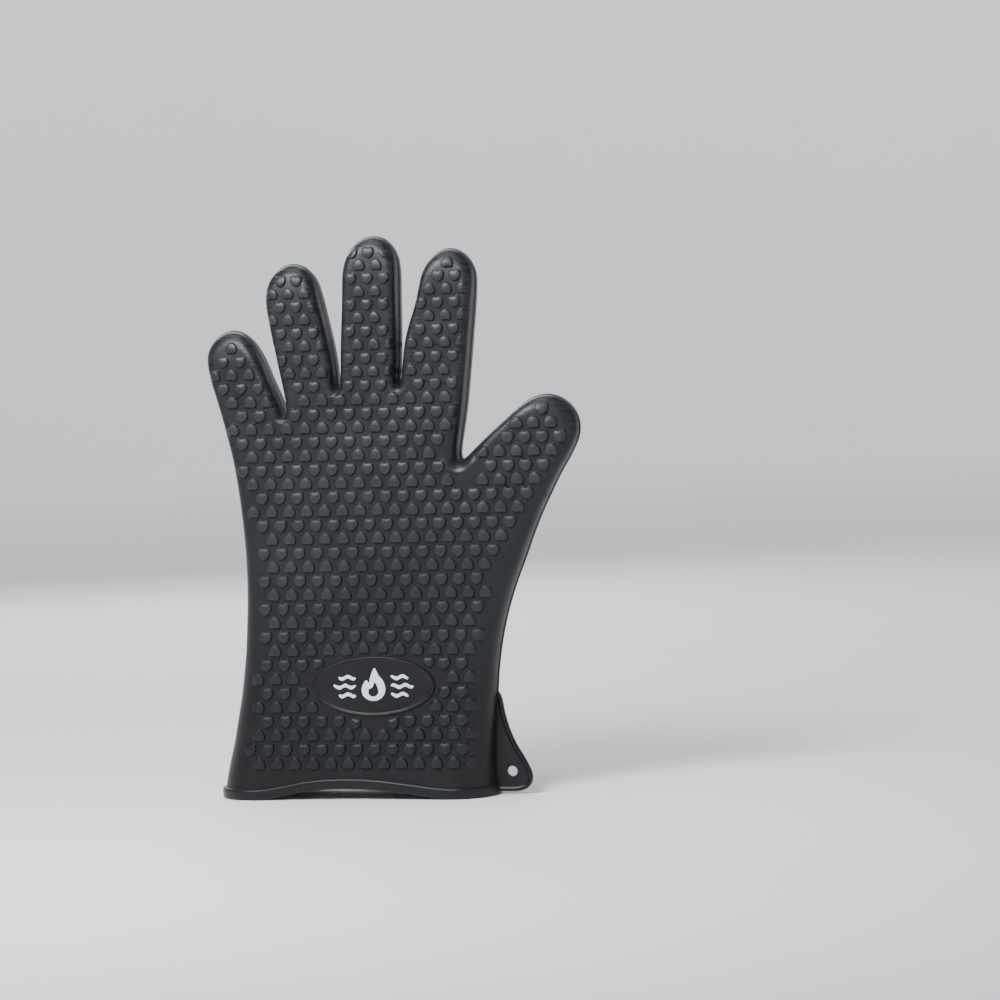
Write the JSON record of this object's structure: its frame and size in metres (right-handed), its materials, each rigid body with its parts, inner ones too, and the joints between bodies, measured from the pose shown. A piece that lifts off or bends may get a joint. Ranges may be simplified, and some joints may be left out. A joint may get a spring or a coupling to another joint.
{
  "type": "heat resistant glove",
  "caption": "Five-finger moulded silicone heat glove with raised heart grip pattern, flared cuff, oval badge and a side hang tab.",
  "frame": {"origin": "centre of the bounding box in X and Y, on the plane the cuff rim stands on", "axes": "+Z from the cuff mouth toward the fingertips, -Y the badge face, +X the thumb and hang-tab side"},
  "size_m": [0.1816, 0.0426, 0.2696],
  "materials": {
    "silicone": "satin",
    "silicone_trim": "satin",
    "silicone_badge": "satin",
    "print_white": "matte"
  },
  "bodies": {
    "cuff": {"cuff_shell": "silicone", "rim_bead": "silicone_trim", "hang_tab_web": "silicone_trim", "hang_tab_bead": "silicone_trim", "badge_plate": "silicone_badge", "badge_ridge": "silicone_badge", "print_flame": "print_white", "print_bars": "print_white", "wrist_flex": "silicone"},
    "hand": {"palm_shell": "silicone", "pinky_knuckle_flex": "silicone", "ring_knuckle_flex": "silicone", "middle_knuckle_flex": "silicone", "index_knuckle_flex": "silicone", "thumb_knuckle_flex": "silicone"},
    "pinky_base": {"pinky_lower": "silicone", "pinky_mid_flex": "silicone"},
    "pinky_end": {"pinky_tip": "silicone"},
    "ring_base": {"ring_lower": "silicone", "ring_mid_flex": "silicone"},
    "ring_end": {"ring_tip": "silicone"},
    "middle_base": {"middle_lower": "silicone", "middle_mid_flex": "silicone"},
    "middle_end": {"middle_tip": "silicone"},
    "index_base": {"index_lower": "silicone", "index_mid_flex": "silicone"},
    "index_end": {"index_tip": "silicone"},
    "thumb_base": {"thumb_lower": "silicone", "thumb_mid_flex": "silicone"},
    "thumb_end": {"thumb_tip": "silicone"}
  },
  "joints": [
    {"name": "wrist_bend", "type": "hinge", "parent": "cuff", "child": "hand", "pos_m": [-0.008, 0, 0.087], "axis": [1, 0, 0], "range_deg": [-25, 25], "stiffness_Nm_per_rad": 2.5, "deforming": ["wrist_flex"]},
    {"name": "pinky_knuckle_bend", "type": "hinge", "parent": "hand", "child": "pinky_base", "pos_m": [-0.06835, 0, 0.18718], "axis": [0.9455, 0, 0.3256], "range_deg": [-10, 40], "stiffness_Nm_per_rad": 0.08, "deforming": ["pinky_knuckle_flex"]},
    {"name": "pinky_middle_bend", "type": "hinge", "parent": "pinky_base", "child": "pinky_end", "pos_m": [-0.07413, 0, 0.20396], "axis": [0.9455, 0, 0.3256], "range_deg": [-5, 38], "stiffness_Nm_per_rad": 0.08, "deforming": ["pinky_mid_flex"]},
    {"name": "ring_knuckle_bend", "type": "hinge", "parent": "hand", "child": "ring_base", "pos_m": [-0.03924, 0, 0.20233], "axis": [0.9816, 0, 0.1908], "range_deg": [-10, 45], "stiffness_Nm_per_rad": 0.08, "deforming": ["ring_knuckle_flex"]},
    {"name": "ring_middle_bend", "type": "hinge", "parent": "ring_base", "child": "ring_end", "pos_m": [-0.04387, 0, 0.22613], "axis": [0.9816, 0, 0.1908], "range_deg": [-5, 48], "stiffness_Nm_per_rad": 0.08, "deforming": ["ring_mid_flex"]},
    {"name": "middle_knuckle_bend", "type": "hinge", "parent": "hand", "child": "middle_base", "pos_m": [-0.0094, 0, 0.20942], "axis": [0.9997, 0, -0.0262], "range_deg": [-10, 45], "stiffness_Nm_per_rad": 0.08, "deforming": ["middle_knuckle_flex"]},
    {"name": "middle_middle_bend", "type": "hinge", "parent": "middle_base", "child": "middle_end", "pos_m": [-0.00871, 0, 0.23591], "axis": [0.9997, 0, -0.0262], "range_deg": [-5, 50], "stiffness_Nm_per_rad": 0.08, "deforming": ["middle_mid_flex"]},
    {"name": "index_knuckle_bend", "type": "hinge", "parent": "hand", "child": "index_base", "pos_m": [0.02249, 0, 0.20617], "axis": [0.9877, 0, -0.1564], "range_deg": [-10, 45], "stiffness_Nm_per_rad": 0.08, "deforming": ["index_knuckle_flex"]},
    {"name": "index_middle_bend", "type": "hinge", "parent": "index_base", "child": "index_end", "pos_m": [0.02628, 0, 0.23012], "axis": [0.9877, 0, -0.1564], "range_deg": [-5, 48], "stiffness_Nm_per_rad": 0.08, "deforming": ["index_mid_flex"]},
    {"name": "thumb_knuckle_bend", "type": "hinge", "parent": "hand", "child": "thumb_base", "pos_m": [0.0612, 0, 0.154], "axis": [0.8, 0, -0.6], "range_deg": [-10, 38], "stiffness_Nm_per_rad": 0.08, "deforming": ["thumb_knuckle_flex"]},
    {"name": "thumb_middle_bend", "type": "hinge", "parent": "thumb_base", "child": "thumb_end", "pos_m": [0.07215, 0, 0.1686], "axis": [0.8, 0, -0.6], "range_deg": [-5, 38], "stiffness_Nm_per_rad": 0.08, "deforming": ["thumb_mid_flex"]}
  ]
}
